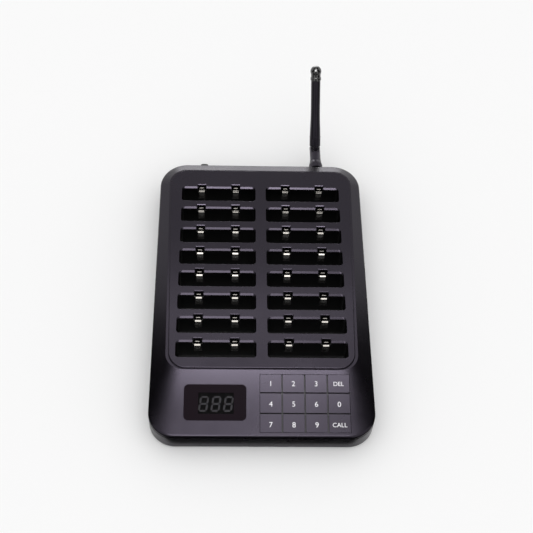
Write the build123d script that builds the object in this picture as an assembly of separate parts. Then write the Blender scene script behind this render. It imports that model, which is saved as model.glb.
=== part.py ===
from build123d import *
import math
import os

# Charging base of a counter paging system: pocket deck, keypad, display and folding antenna.
# Millimetres. X runs to the right, Y to the back, Z up. The origin is on the table, under the
# middle of the case.

# Pockets for the pagers
POCKET_ROWS = 8
POCKET_PITCH = 25.0
POCKET_WIDTH = 72.5
POCKET_LENGTH = 16.0
POCKET_DEPTH = 25.0
POCKET_CORNER = 3.0
COLUMN_GAP = 10.0
REAR_CHAMFER = 1.7
REAR_CHAMFER_DROP = 1.0
REAR_CHAMFER_CORNER = 4.0
WELL_WALL = 1.6
WELL_FLOOR = 1.6
TRAY_FLANGE = 1.6
TRAY_FLANGE_REACH = 0.8

# Spring contacts and their notches
CONTACT_SPACING = 33.5
CONTACT_WIDTH = 5.5
CONTACT_NECK_WIDTH = 3.7
CONTACT_THICKNESS = 0.4
CONTACT_BEND = 0.6
CONTACT_BACK = 1.9
CONTACT_TOP_BELOW_DECK = 1.2
CONTACT_KNEE = 0.4
CONTACT_KNEE_BELOW_DECK = 3.5
CONTACT_NOSE = 2.3
CONTACT_NOSE_BELOW_DECK = 4.2
CONTACT_TAIL_BACK = 0.3
CONTACT_TAIL_BELOW_DECK = 13.0
CONTACT_ROOT_BELOW_DECK = 21.0
NOTCH_WIDTH = 9.6
NOTCH_REAR_WIDTH = 7.4
NOTCH_LENGTH = 3.9
NOTCH_EDGE = 0.7
NOTCH_EDGE_DROP = 0.35
SLOT_WIDTH = 7.0
HOLDER_WIDTH = 10.0
HOLDER_BACK = 4.2
HOLDER_HEIGHT_ABOVE_ROOT = 4.0
HOLDER_SLOT = 1.0

# Deck, flanks and sloping front panel
DECK_MARGIN_FRONT = 10.4
DECK_MARGIN_REAR = 20.7
DECK_MARGIN_SIDE = 5.6
DECK_TAPER = 6.6
DECK_CORNER_FRONT = 16.0
DECK_CORNER_REAR = 17.0
DECK_EDGE = 0.7
DECK_STEP_FRONT = 1.8
DECK_STEP_REAR = 0.3
LEDGE_FRONT = 0.8
LEDGE_SIDE_FRONT = 2.8
LEDGE_SIDE_REAR = 0.5
PANEL_LENGTH = 61.0
PANEL_CORNER = 16.0
FRONT_DROP = 12.4
REAR_DROP = 6.6
FLANK_WIDTH = 16.4
REAR_FLANK = 12.2

# Outline and walls
OUTLINE_CORNER_FRONT = 24.0
OUTLINE_CORNER_REAR = 27.0
SHELL_WALL = 2.4
SHOULDER_ROUND = 2.6
COVER_SKIRT = 3.4
GROOVE_HEIGHT = 1.4
TONGUE_THICKNESS = 1.2
TONGUE_HEIGHT = 2.5
CASE_FLOOR = 2.2
CASE_EDGE_ROUND = 0.9
SPACE_UNDER_WELLS = 3.7
FIT = 0.2

# Keypad on the front panel
KEY_COLUMNS = 4
KEY_ROWS = 3
KEY_PITCH_X = 20.0
KEY_PITCH_Y = 18.6
KEY_GAP = 0.9
KEY_END_TRIM = 1.2
KEY_CORNER = 0.6
KEY_EDGE = 0.25
KEY_PROUD = 0.2
KEY_TRAVEL = 0.8
KEY_SPARE = 0.2
KEY_LEG_WIDTH = 3.0
KEY_LEG_THICKNESS = 1.2
KEY_LEG_SPREAD = 5.6
KEY_BARB = 0.6
KEY_BARB_HEIGHT = 0.9
KEY_STEM_RADIUS = 2.0
KEYPAD_CENTRE_UP = 30.6
APERTURE_GAP = 0.2
FRAME_THICKNESS = 1.4
FRAME_GAP = 0.1
FRAME_MARGIN = 1.3
SWITCH_SIZE = 6.0
SWITCH_HEIGHT = 3.5
BOARD_THICKNESS = 1.6

# Display
WINDOW_WIDTH = 54.4
WINDOW_HEIGHT = 32.4
WINDOW_CORNER = 4.0
WINDOW_THICKNESS = 1.4
WINDOW_CENTRE_UP = 31.0
WINDOW_GAP = 0.15
DISPLAY_WIDTH = 32.0
DISPLAY_HEIGHT = 19.1
DISPLAY_SHIFT_X = 0.85
DISPLAY_SHIFT_UP = -0.9
DISPLAY_BACK = 0.2
DIGIT_COUNT = 3
DIGIT_HEIGHT = 14.2
DIGIT_WIDTH = 8.0
DIGIT_PITCH = 10.8
DIGIT_SLANT = 8.0
SEGMENT_WIDTH = 1.7
SEGMENT_GAP = 0.25
SEGMENT_RAISE = 0.15

# Fasteners, posts and feet
POST_RADIUS = 3.0
POST_HOLE = 1.05
SMALL_SCREW_RADIUS = 1.0
SMALL_SCREW_HEAD = 2.0
SMALL_SCREW_HEAD_HEIGHT = 1.3
SMALL_SCREW_LENGTH = 5.0
CASE_SCREW_RADIUS = 1.4
CASE_SCREW_HEAD = 2.8
CASE_SCREW_HEAD_HEIGHT = 1.9
CASE_SCREW_LENGTH = 12.0
CASE_SCREW_SINK = 0.8
CASE_POST_RADIUS = 4.0
CASE_POST_INSET = 8.5
CASE_POST_RISE = 3.0
THREAD_GAP = 0.05
FOOT_RADIUS = 6.5
FOOT_DROP = 1.5
FOOT_SEAT = 0.8
FOOT_INSET = 21.0

# Rear wall: antenna, power button and inlet
REAR_AXIS_BELOW_DECK = 12.4
ANTENNA_INSET = 42.4
BUTTON_INSET = 43.1
BUTTON_WIDTH = 8.0
BUTTON_HEIGHT = 5.2
BUTTON_PROUD = 4.3
BUTTON_TRAVEL = 2.0
BUTTON_GAP = 0.3
POWER_SWITCH_DEPTH = 12.0
POWER_SWITCH_WIDTH = 11.0
POWER_SWITCH_ABOVE = 3.6
POWER_SWITCH_BELOW = 4.6
JACK_X = -22.0
JACK_WIDTH = 9.0
JACK_DEPTH = 13.0
JACK_HEIGHT = 9.4
JACK_NOSE_RADIUS = 3.9
JACK_BORE_RADIUS = 3.15
JACK_BORE_DEPTH = 9.5
JACK_PIN_RADIUS = 1.0
JACK_RECESS = 0.3
HOLE_GAP = 0.15

# Antenna
THREAD_RADIUS = 3.1
THREAD_LENGTH = 5.2
CONNECTOR_FLANGE_RADIUS = 4.0
CONNECTOR_FLANGE = 1.6
CONNECTOR_TAIL = 4.0
CONNECTOR_TAIL_RADIUS = 1.6
NUT_ACROSS_FLATS = 8.0
NUT_THICKNESS = 2.0
GRIP_START = 0.4
GRIP_END = 10.2
GRIP_RADIUS_WALL = 6.8
GRIP_RADIUS_FREE = 5.75
GRIP_RIBS = 24
GRIP_RIB_DEPTH = 0.3
NUT_POCKET_RADIUS = 5.0
NUT_POCKET_DEPTH = 2.2
SPIGOT_RADIUS = 3.0
SPIGOT_LENGTH = 4.2
SHAFT_FIT = 0.05
NECK_RADIUS = 5.4
NECK_RING_PROUD = 0.4
NECK_RING_WIDTH = 0.8
PIVOT_OUT = 26.4
NECK_END_BEFORE_PIVOT = 5.8
EAR_RADIUS = 3.6
FORK_SLOT = 4.4
TANG_THICKNESS = 4.0
TANG_RADIUS = 3.3
PIN_RADIUS = 1.3
PIVOT_GAP = 0.35
KNUCKLE_START = 4.0
KNUCKLE_END = 14.0
KNUCKLE_RADIUS = 5.5
KNUCKLE_FLUTES = 16
KNUCKLE_FLUTE_RADIUS = 0.5
KNUCKLE_RING_PROUD = 0.15
KNUCKLE_RING_WIDTH = 0.8
WHIP_LENGTH = 87.8
WHIP_TOP_RADIUS = 4.7
WHIP_TAPER = ((15.0, 5.45), (20.7, 5.32), (26.7, 5.07), (32.7, 4.84), (42.7, 4.68), (52.0, 4.7))
CAP_LENGTH = 14.6
CAP_RING_RADIUS = 5.3
CAP_RING_LENGTH = 3.0
CAP_NECK_RADIUS = 4.85
CAP_BULB_RADIUS = 5.5
CAP_SEAT = 3.0
CAP_SEAT_RADIUS = 3.2
WHIP_LEAN = 57.0
SWIVEL_REST = 1.9

# Boards and wiring inside
MAIN_BOARD_WIDTH = 150.0
MAIN_BOARD_LENGTH = 18.0
MAIN_BOARD_STANDOFF = 1.4
MAIN_BOARD_SCREW_INSET = 5.0
CHARGE_BOARD_WIDTH = 64.0
CHARGE_BOARD_THICKNESS = 1.0
CHARGE_BOARD_RISE = 1.0
CHARGE_RIB_WIDTH = 2.0
CHARGE_RIB_INSET = 8.0
RADIO_WIDTH = 16.0
RADIO_LENGTH = 12.0
RADIO_HEIGHT = 2.4
RADIO_X = 44.0
LEAD_RADIUS = 0.9
LEAD_BEND = 4.0
RIBBON_WIDTH = 5.0
RIBBON_THICKNESS = 0.8

# Sizes that follow from the ones above
body_width = COLUMN_GAP + 2 * (POCKET_WIDTH + DECK_MARGIN_SIDE + FLANK_WIDTH)
pocket_block = (POCKET_ROWS - 1) * POCKET_PITCH + POCKET_LENGTH
deck_length = DECK_MARGIN_FRONT + pocket_block + REAR_CHAMFER + DECK_MARGIN_REAR
body_length = PANEL_LENGTH + deck_length + REAR_FLANK
case_z = FOOT_DROP
floor_z = case_z + CASE_FLOOR
well_bottom_z = floor_z + SPACE_UNDER_WELLS
well_floor_z = well_bottom_z + WELL_FLOOR
deck_z = well_floor_z + POCKET_DEPTH
shoulder_front_z = deck_z - FRONT_DROP
shoulder_rear_z = deck_z - REAR_DROP
cover_bottom_z = shoulder_front_z - COVER_SKIRT
case_top_z = cover_bottom_z - GROOVE_HEIGHT
front_y = -body_length / 2
rear_y = body_length / 2
deck_front_y = front_y + PANEL_LENGTH
deck_rear_y = rear_y - REAR_FLANK
deck_half_front = body_width / 2 - FLANK_WIDTH
deck_half_rear = deck_half_front + DECK_TAPER
tray_seat_z = deck_z - SHELL_WALL
column_x = COLUMN_GAP / 2 + POCKET_WIDTH / 2
ledge_front_z = deck_z - DECK_STEP_FRONT
ledge_rear_z = deck_z - DECK_STEP_REAR
ledge_front_y = deck_front_y - LEDGE_FRONT
ledge_rear_y = deck_rear_y + LEDGE_SIDE_REAR
panel_tilt = math.atan2(ledge_front_z - shoulder_front_z, ledge_front_y - front_y)
keypad_centre_x = COLUMN_GAP / 2 + POCKET_WIDTH - KEY_COLUMNS * KEY_PITCH_X / 2
window_centre_x = -column_x
display_centre_x = window_centre_x + DISPLAY_SHIFT_X
display_centre_up = WINDOW_CENTRE_UP + DISPLAY_SHIFT_UP
antenna_x = body_width / 2 - ANTENNA_INSET
button_x = BUTTON_INSET - body_width / 2
flank_slope = math.atan2(FRONT_DROP, FLANK_WIDTH)
rear_axis_z = deck_z - REAR_AXIS_BELOW_DECK
inner_rear_y = rear_y - SHELL_WALL


def pocket_rear_y(row):
    """Rear face of a pocket, counted from the front row."""
    return deck_front_y + DECK_MARGIN_FRONT + POCKET_LENGTH + row * POCKET_PITCH


def box_between(x0, x1, y0, y1, z0, z1):
    """A box given by its limits."""
    return Pos((x0 + x1) / 2, (y0 + y1) / 2, (z0 + z1) / 2) * Box(x1 - x0, y1 - y0, z1 - z0)


def rounded_box(x0, x1, y0, y1, z0, z1, radius):
    """A box with its four upright edges rounded."""
    face = RectangleRounded(x1 - x0, y1 - y0, radius)
    return Pos((x0 + x1) / 2, (y0 + y1) / 2, z0) * extrude(face, z1 - z0)


def rod_z(x, y, z0, z1, radius):
    """An upright cylinder between two heights."""
    return Pos(x, y, (z0 + z1) / 2) * Cylinder(radius, z1 - z0)


def rod_y(x, z, y0, y1, radius):
    """A cylinder along Y between two depths."""
    return Pos(x, (y0 + y1) / 2, z) * Rot(90, 0, 0) * Cylinder(radius, y1 - y0)


def obround_y(x, z, y0, y1, width, height):
    """A bar along Y with flat top and bottom and round sides."""
    return Pos(x, y1, z) * Rot(90, 0, 0) * extrude(SlotOverall(width, height), y1 - y0)


def save(part, name):
    """Writes one piece to its own file."""
    part.label = name
    export_step(part, f"parts/{name}.step")


# The sloping front panel has its own plane: X to the right, Y up the slope, Z out of the panel
panel_plane = Plane(
    origin=(0, front_y, shoulder_front_z),
    x_dir=(1, 0, 0),
    z_dir=(0, -math.sin(panel_tilt), math.cos(panel_tilt)),
)
panel = panel_plane.location

# Body outline and the faces that its loft joins


def outline(inset, rise=0.0):
    """Plan outline of the case, inset all round, for a plane that rises this much to the back."""
    length = body_length - 2 * inset
    face = Rectangle(body_width - 2 * inset, length / math.cos(math.atan2(rise, body_length)))
    corners = face.vertices().sort_by(Axis.Y)
    face = fillet(corners[:2], OUTLINE_CORNER_FRONT - inset)
    rear = face.vertices().sort_by(Axis.Y)[-2:]
    return fillet(rear, OUTLINE_CORNER_REAR - inset)


def trapezoid(half_front, half_rear, y_front, y_rear, corner_front, corner_rear):
    """A four-sided face with rounded corners, centred on the middle of its length."""
    half = (y_rear - y_front) / 2
    face = Polygon(
        (-half_front, -half), (half_front, -half), (half_rear, half), (-half_rear, half), align=None
    )
    face = fillet(face.vertices().sort_by(Axis.Y)[:2], corner_front)
    return fillet(face.vertices().sort_by(Axis.Y)[-2:], corner_rear)


def tilted_plane(y_low, z_low, y_high, z_high):
    """A plane that rises towards the back, centred between two heights."""
    tilt = math.atan2(z_high - z_low, y_high - y_low)
    return Plane(
        origin=(0, (y_low + y_high) / 2, (z_low + z_high) / 2),
        x_dir=(1, 0, 0),
        z_dir=(0, -math.sin(tilt), math.cos(tilt)),
    )


def surround(inset):
    """Skirt, flanks and front panel as one solid, made thinner all round by the inset."""
    front_drop = inset * (1 - math.sin(panel_tilt)) / math.cos(panel_tilt)
    rear_drop = inset * (1 - math.sin(flank_slope)) / math.cos(flank_slope)
    front_inset = inset * math.tan(panel_tilt / 2)
    upper_inset = inset * math.tan(flank_slope / 2)
    low_z = shoulder_front_z - front_drop
    high_z = shoulder_rear_z - rear_drop
    lower = tilted_plane(front_y, low_z, rear_y, high_z) * outline(inset, high_z - low_z)
    upper_plane = tilted_plane(
        ledge_front_y, ledge_front_z - inset, ledge_rear_y, ledge_rear_z - inset
    )
    upper = upper_plane * trapezoid(
        deck_half_front + LEDGE_SIDE_FRONT - upper_inset,
        deck_half_rear + LEDGE_SIDE_REAR - upper_inset,
        ledge_front_y + front_inset,
        ledge_rear_y - upper_inset,
        PANEL_CORNER,
        DECK_CORNER_REAR,
    )
    crown = loft([lower.face(), upper.face()], ruled=True)
    skirt = extrude(lower.face(), shoulder_rear_z, dir=(0, 0, -1))
    below = box_between(-body_width, body_width, -body_length, body_length, -deck_z, cover_bottom_z)
    return (crown + skirt) - below


def make_top_cover():
    """Deck, flanks, panel and skirt as one shell with its openings."""
    shell = surround(0)
    shoulder = [
        edge
        for edge in shell.edges()
        if cover_bottom_z + 1 < edge.center().Z < shoulder_rear_z + 0.1
        and (
            abs(edge.center().X) > deck_half_front + FLANK_WIDTH * 0.6
            or edge.center().Y < front_y + 1
            or edge.center().Y > rear_y - 1
        )
    ]
    shell = fillet(shoulder, SHOULDER_ROUND)
    plateau = trapezoid(
        deck_half_front, deck_half_rear, deck_front_y, deck_rear_y, DECK_CORNER_FRONT, DECK_CORNER_REAR
    )
    plateau_middle = (deck_front_y + deck_rear_y) / 2
    plateau = Pos(0, plateau_middle, ledge_front_z - 2) * extrude(plateau, DECK_STEP_FRONT + 2)
    plateau = fillet(plateau.faces().sort_by(Axis.Z)[-1].edges(), DECK_EDGE)
    shell = shell + plateau
    shell = shell - surround(SHELL_WALL)
    for side in (-1, 1):
        shell = shell - tray_outline(side, FIT, tray_seat_z)
        for row in range(POCKET_ROWS):
            shell = shell - pocket_mouth(side, row)
    shell = shell + cover_posts() + (panel * panel_posts())
    shell = shell - panel * panel_openings()
    shell = shell - rod_y(antenna_x, rear_axis_z, inner_rear_y - 1, rear_y + 1, THREAD_RADIUS + HOLE_GAP)
    wide = BUTTON_WIDTH + 2 * BUTTON_GAP
    tall = BUTTON_HEIGHT + 2 * BUTTON_GAP
    return shell - obround_y(button_x, rear_axis_z, inner_rear_y - 1, rear_y + 1, wide, tall)


def tray_outline(side, gap, top_z):
    """The space that a tray's flange fills under the deck."""
    x_in = COLUMN_GAP / 2 - WELL_WALL - TRAY_FLANGE_REACH - gap
    x_out = COLUMN_GAP / 2 + POCKET_WIDTH + WELL_WALL + TRAY_FLANGE_REACH + gap
    y0 = pocket_rear_y(0) - POCKET_LENGTH - WELL_WALL - TRAY_FLANGE_REACH - gap
    y1 = pocket_rear_y(POCKET_ROWS - 1) + NOTCH_LENGTH + TRAY_FLANGE_REACH + gap
    x0, x1 = sorted((side * x_in, side * x_out))
    return box_between(x0, x1, y0, y1, top_z - TRAY_FLANGE - gap, top_z)


def contact_xs(side):
    """Places of the two contacts across a pocket."""
    return [side * column_x - CONTACT_SPACING / 2, side * column_x + CONTACT_SPACING / 2]


def rim_face(x0, x1, y0, y1, rear_corner):
    """Plan of a pocket's rim, with its own radius at the rear corners."""
    face = Pos((x0 + x1) / 2, (y0 + y1) / 2, 0) * Rectangle(x1 - x0, y1 - y0)
    face = fillet(face.vertices().sort_by(Axis.Y)[:2], POCKET_CORNER)
    return fillet(face.vertices().sort_by(Axis.Y)[-2:], rear_corner)


def notch_face(x, rear, grow):
    """Plan of the notch behind a contact, narrower at the back."""
    half = NOTCH_WIDTH / 2 + grow
    rear_half = NOTCH_REAR_WIDTH / 2 + grow
    back = rear + NOTCH_LENGTH + grow
    front = rear - 1
    points = [(x - half, front), (x + half, front), (x + rear_half, back), (x - rear_half, back)]
    return Polygon(*points, align=None)


def pocket_mouth(side, row):
    """Cut through the deck for one pocket, with its rear lead-in and notches."""
    rear = pocket_rear_y(row)
    front = rear - POCKET_LENGTH
    x0 = side * column_x - POCKET_WIDTH / 2
    x1 = side * column_x + POCKET_WIDTH / 2
    rim_z = deck_z - REAR_CHAMFER_DROP
    opening = rim_face(x0, x1, front, rear, POCKET_CORNER)
    rim = rim_face(x0, x1, front, rear + REAR_CHAMFER, REAR_CHAMFER_CORNER)
    cut = Pos(0, 0, tray_seat_z - 1) * extrude(opening, rim_z - tray_seat_z + 1)
    cut = cut + loft([Pos(0, 0, rim_z) * opening, Pos(0, 0, deck_z) * rim], ruled=True)
    cut = cut + Pos(0, 0, deck_z) * extrude(rim, 1)
    for x in contact_xs(side):
        edge_z = deck_z - NOTCH_EDGE_DROP
        narrow = notch_face(x, rear, 0)
        wide = notch_face(x, rear, NOTCH_EDGE)
        cut = cut + Pos(0, 0, tray_seat_z - 1) * extrude(narrow, edge_z - tray_seat_z + 1)
        cut = cut + loft([Pos(0, 0, edge_z) * narrow, Pos(0, 0, deck_z) * wide], ruled=True)
    return cut


def case_post_places():
    """Where the case screws go: three along each side."""
    x = body_width / 2 - SHELL_WALL - CASE_POST_INSET
    ys = (pocket_rear_y(0), pocket_rear_y(POCKET_ROWS // 2 - 1), pocket_rear_y(POCKET_ROWS - 1))
    return [(side * x, y) for side in (-1, 1) for y in ys]


def cover_posts():
    """Screw posts that hang from the flanks down to the posts of the case."""
    posts = []
    bottom = floor_z + CASE_POST_RISE + FIT
    for x, y in case_post_places():
        post = rod_z(x, y, bottom, deck_z, CASE_POST_RADIUS)
        post = post - rod_z(x, y, bottom, bottom + CASE_SCREW_LENGTH, CASE_SCREW_RADIUS + THREAD_GAP)
        posts.append(post)
    return Part() + posts & (surround(SHELL_WALL / 2) + post_zone())


def post_zone():
    """The space under the cover's edge, where posts may stand."""
    zone = extrude(outline(SHELL_WALL), cover_bottom_z - case_z)
    return Pos(0, 0, case_z) * zone


# Places on the front panel, in its own plane
key_left_x = keypad_centre_x - KEY_COLUMNS * KEY_PITCH_X / 2
key_low_y = KEYPAD_CENTRE_UP - KEY_ROWS * KEY_PITCH_Y / 2
key_cap_bottom = -SHELL_WALL + KEY_TRAVEL + KEY_SPARE
frame_top = -SHELL_WALL - FRAME_GAP
frame_bottom = frame_top - FRAME_THICKNESS
key_stem_bottom = frame_bottom - KEY_BARB_HEIGHT - KEY_SPARE
switch_top = key_stem_bottom - KEY_TRAVEL - KEY_SPARE
board_top = switch_top - SWITCH_HEIGHT
board_bottom = board_top - BOARD_THICKNESS


def key_limits(column, row):
    """Limits of a key cap on the panel; row 0 is the lowest."""
    x0 = key_left_x + column * KEY_PITCH_X + KEY_GAP / 2
    y0 = key_low_y + row * KEY_PITCH_Y + KEY_GAP / 2
    x1 = x0 + KEY_PITCH_X - KEY_GAP
    y1 = y0 + KEY_PITCH_Y - KEY_GAP
    if row == 0:
        y0 = y0 + KEY_END_TRIM
    if row == KEY_ROWS - 1:
        y1 = y1 - KEY_END_TRIM
    return x0, x1, y0, y1


def aperture_limits():
    """Limits of the opening that all the keys share."""
    x0, _, y0, _ = key_limits(0, 0)
    _, x1, _, y1 = key_limits(KEY_COLUMNS - 1, KEY_ROWS - 1)
    return x0 - APERTURE_GAP, x1 + APERTURE_GAP, y0 - APERTURE_GAP, y1 + APERTURE_GAP


def panel_post_places():
    """Where the front board is screwed to the cover."""
    x0, x1, y0, y1 = aperture_limits()
    out = FRAME_MARGIN + POST_RADIUS + FIT
    low = y0 + 3 * POST_RADIUS
    high = y1 - POST_RADIUS
    left = window_centre_x - WINDOW_WIDTH / 2 + POST_RADIUS
    window_high = WINDOW_CENTRE_UP + WINDOW_HEIGHT / 2 + POST_RADIUS
    window_low = WINDOW_CENTRE_UP - WINDOW_HEIGHT / 2 - POST_RADIUS
    return [
        (x0 - out, low),
        (x1 + out, low),
        (x0 - out, high),
        (x1 + out, high),
        (left, window_high),
        (left, window_low),
    ]


def panel_posts():
    """Posts under the front panel, in the panel's plane."""
    posts = []
    for x, y in panel_post_places():
        post = rod_z(x, y, board_top, -SHELL_WALL / 2, POST_RADIUS)
        post = post - rod_z(x, y, board_top, board_top + SMALL_SCREW_LENGTH, POST_HOLE)
        posts.append(post)
    return Part() + posts


def panel_openings():
    """Key aperture, window recess and display opening, in the panel's plane."""
    x0, x1, y0, y1 = aperture_limits()
    cut = box_between(x0, x1, y0, y1, -2 * SHELL_WALL, 2)
    half_w = WINDOW_WIDTH / 2 + WINDOW_GAP
    half_h = WINDOW_HEIGHT / 2 + WINDOW_GAP
    recess = rounded_box(
        window_centre_x - half_w,
        window_centre_x + half_w,
        WINDOW_CENTRE_UP - half_h,
        WINDOW_CENTRE_UP + half_h,
        -WINDOW_THICKNESS,
        2,
        WINDOW_CORNER + WINDOW_GAP,
    )
    hole = box_between(
        display_centre_x - DISPLAY_WIDTH / 2 - APERTURE_GAP,
        display_centre_x + DISPLAY_WIDTH / 2 + APERTURE_GAP,
        display_centre_up - DISPLAY_HEIGHT / 2 - APERTURE_GAP,
        display_centre_up + DISPLAY_HEIGHT / 2 + APERTURE_GAP,
        -2 * SHELL_WALL,
        0,
    )
    return cut + recess + hole


# Lower half of the case


def main_board_limits():
    """Plan limits of the main board, against the rear wall."""
    y1 = inner_rear_y - TONGUE_THICKNESS - 1.0
    return -MAIN_BOARD_WIDTH / 2, MAIN_BOARD_WIDTH / 2, y1 - MAIN_BOARD_LENGTH, y1


def main_board_screw_places():
    """Four corners of the main board."""
    x0, x1, y0, y1 = main_board_limits()
    inset = MAIN_BOARD_SCREW_INSET
    return [(x, y) for x in (x0 + inset, x1 - inset) for y in (y0 + inset, y1 - inset)]


def charge_board_limits(side):
    """Plan limits of the board under a column of wells."""
    x0 = side * column_x - CHARGE_BOARD_WIDTH / 2
    y0 = pocket_rear_y(0) - POCKET_LENGTH
    y1 = pocket_rear_y(POCKET_ROWS - 1) + HOLDER_BACK + WELL_WALL + 1
    return x0, x0 + CHARGE_BOARD_WIDTH, y0, y1


def foot_places():
    """Four feet, near the corners."""
    x = body_width / 2 - FOOT_INSET
    y = body_length / 2 - FOOT_INSET
    return [(sx * x, sy * y) for sx in (-1, 1) for sy in (-1, 1)]


def make_bottom_case():
    """Floor, wall with its tongue, screw posts, board supports and foot seats."""
    case = Pos(0, 0, case_z) * extrude(outline(0), case_top_z - case_z)
    case = fillet(case.faces().sort_by(Axis.Z)[0].edges(), CASE_EDGE_ROUND)
    case = case - Pos(0, 0, floor_z) * extrude(outline(SHELL_WALL), case_top_z)
    tongue = outline(SHELL_WALL + FIT) - outline(SHELL_WALL + FIT + TONGUE_THICKNESS)
    tongue_low = case_top_z - TONGUE_HEIGHT
    tongue = Pos(0, 0, tongue_low) * extrude(tongue, case_top_z + TONGUE_HEIGHT - tongue_low)
    root = outline(SHELL_WALL / 2) - outline(SHELL_WALL + FIT + TONGUE_THICKNESS)
    root = Pos(0, 0, tongue_low) * extrude(root, TONGUE_HEIGHT)
    rear_cut = []
    for x, half in ((antenna_x, CONNECTOR_FLANGE_RADIUS), (button_x, POWER_SWITCH_WIDTH / 2)):
        rear_cut.append(
            box_between(x - half - 1, x + half + 1, rear_y - 20, rear_y, case_top_z, deck_z)
        )
    rear_cut.append(
        box_between(
            JACK_X - JACK_WIDTH / 2 - 1,
            JACK_X + JACK_WIDTH / 2 + 1,
            rear_y - 20,
            inner_rear_y,
            floor_z,
            deck_z,
        )
    )
    x0, x1, _, _ = aperture_limits()
    keypad_low_z = cover_bottom_z - FIT
    keypad_cut = box_between(
        x0 - 2 * FRAME_MARGIN, x1 + 2 * FRAME_MARGIN, front_y, front_y + PANEL_LENGTH, keypad_low_z, deck_z
    )
    tongue = (tongue + root) - rear_cut - keypad_cut
    case = case + tongue
    for x, y in case_post_places():
        case = case + rod_z(x, y, floor_z - 0.5, floor_z + CASE_POST_RISE, CASE_POST_RADIUS)
        head_top = case_z + CASE_SCREW_SINK + CASE_SCREW_HEAD_HEIGHT
        case = case - rod_z(x, y, case_z - 1, head_top, CASE_SCREW_HEAD + THREAD_GAP)
        case = case - rod_z(x, y, case_z, floor_z + CASE_POST_RISE + 1, CASE_SCREW_RADIUS + THREAD_GAP)
    for x, y in main_board_screw_places():
        post = rod_z(x, y, floor_z - 0.5, floor_z + MAIN_BOARD_STANDOFF, POST_RADIUS)
        case = case + post - rod_z(x, y, floor_z - 1, floor_z + MAIN_BOARD_STANDOFF, POST_HOLE)
    for side in (-1, 1):
        x0, x1, y0, y1 = charge_board_limits(side)
        for x in (x0 + CHARGE_RIB_INSET, x1 - CHARGE_RIB_INSET):
            half = CHARGE_RIB_WIDTH / 2
            case = case + box_between(x - half, x + half, y0, y1, floor_z - 0.5, floor_z + CHARGE_BOARD_RISE)
    for x, y in foot_places():
        case = case - rod_z(x, y, case_z - 1, case_z + FOOT_SEAT, FOOT_RADIUS + THREAD_GAP)
    jack_z = floor_z + MAIN_BOARD_STANDOFF + BOARD_THICKNESS + JACK_HEIGHT / 2
    case = case - rod_y(JACK_X, jack_z, inner_rear_y - 1, rear_y + 1, JACK_NOSE_RADIUS + HOLE_GAP)
    return case


# Pocket trays and contacts


def make_tray(side):
    """Eight wells on one flange, with slots for the contacts in each rear wall."""
    tray = tray_outline(side, 0, tray_seat_z)
    x0 = side * column_x - POCKET_WIDTH / 2
    x1 = side * column_x + POCKET_WIDTH / 2
    for row in range(POCKET_ROWS):
        rear = pocket_rear_y(row)
        front = rear - POCKET_LENGTH
        tray = tray + rounded_box(
            x0 - WELL_WALL,
            x1 + WELL_WALL,
            front - WELL_WALL,
            rear + WELL_WALL,
            well_bottom_z,
            tray_seat_z - TRAY_FLANGE / 2,
            POCKET_CORNER + WELL_WALL,
        )
    for row in range(POCKET_ROWS):
        rear = pocket_rear_y(row)
        front = rear - POCKET_LENGTH
        tray = tray - rounded_box(x0, x1, front, rear, well_floor_z, deck_z, POCKET_CORNER)
        for x in contact_xs(side):
            half = SLOT_WIDTH / 2
            slot_z = deck_z - CONTACT_ROOT_BELOW_DECK + HOLDER_HEIGHT_ABOVE_ROOT
            tray = tray - box_between(x - half, x + half, rear - 1, rear + WELL_WALL + 1, slot_z, deck_z)
            flange_z = tray_seat_z - TRAY_FLANGE - 0.5
            tray = tray - Pos(0, 0, flange_z) * extrude(notch_face(x, rear, 0), deck_z - flange_z)
    return tray


def contact_profile(rear):
    """Centre line of a contact from its root up, over the knee and nose and down into the pocket."""
    back = rear + CONTACT_BACK
    rise = CONTACT_KNEE_BELOW_DECK - CONTACT_TOP_BELOW_DECK
    fall = math.atan2(rise, CONTACT_BACK + CONTACT_KNEE)
    over = CONTACT_BEND / math.cos((math.pi / 2 + fall) / 2) - CONTACT_BEND
    corner = deck_z - CONTACT_TOP_BELOW_DECK + over
    points = [
        (0, back, deck_z - CONTACT_ROOT_BELOW_DECK),
        (0, back, corner),
        (0, rear - CONTACT_KNEE, deck_z - CONTACT_KNEE_BELOW_DECK),
        (0, rear - CONTACT_NOSE, deck_z - CONTACT_NOSE_BELOW_DECK),
        (0, rear + CONTACT_TAIL_BACK, deck_z - CONTACT_TAIL_BELOW_DECK),
    ]
    return FilletPolyline(*points, radius=CONTACT_BEND)


def make_contact_pair(side, row):
    """Two bent leaf springs at the rear of one pocket, narrow behind the knee."""
    rear = pocket_rear_y(row)
    line = contact_profile(rear)
    root = Plane(
        origin=(0, rear + CONTACT_BACK, deck_z - CONTACT_ROOT_BELOW_DECK), x_dir=(1, 0, 0), z_dir=(0, 0, 1)
    )
    blade = sweep(root * Rectangle(CONTACT_WIDTH, CONTACT_THICKNESS), path=line)
    knee = rear - CONTACT_KNEE
    low = deck_z - CONTACT_TAIL_BELOW_DECK - 1
    for sign in (-1, 1):
        a, b = sorted((sign * CONTACT_NECK_WIDTH / 2, sign * CONTACT_WIDTH))
        blade = blade - box_between(a, b, knee, rear + 2 * CONTACT_BACK, low, deck_z)
    return Part() + [Pos(x, 0, 0) * blade for x in contact_xs(side)]


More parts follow.
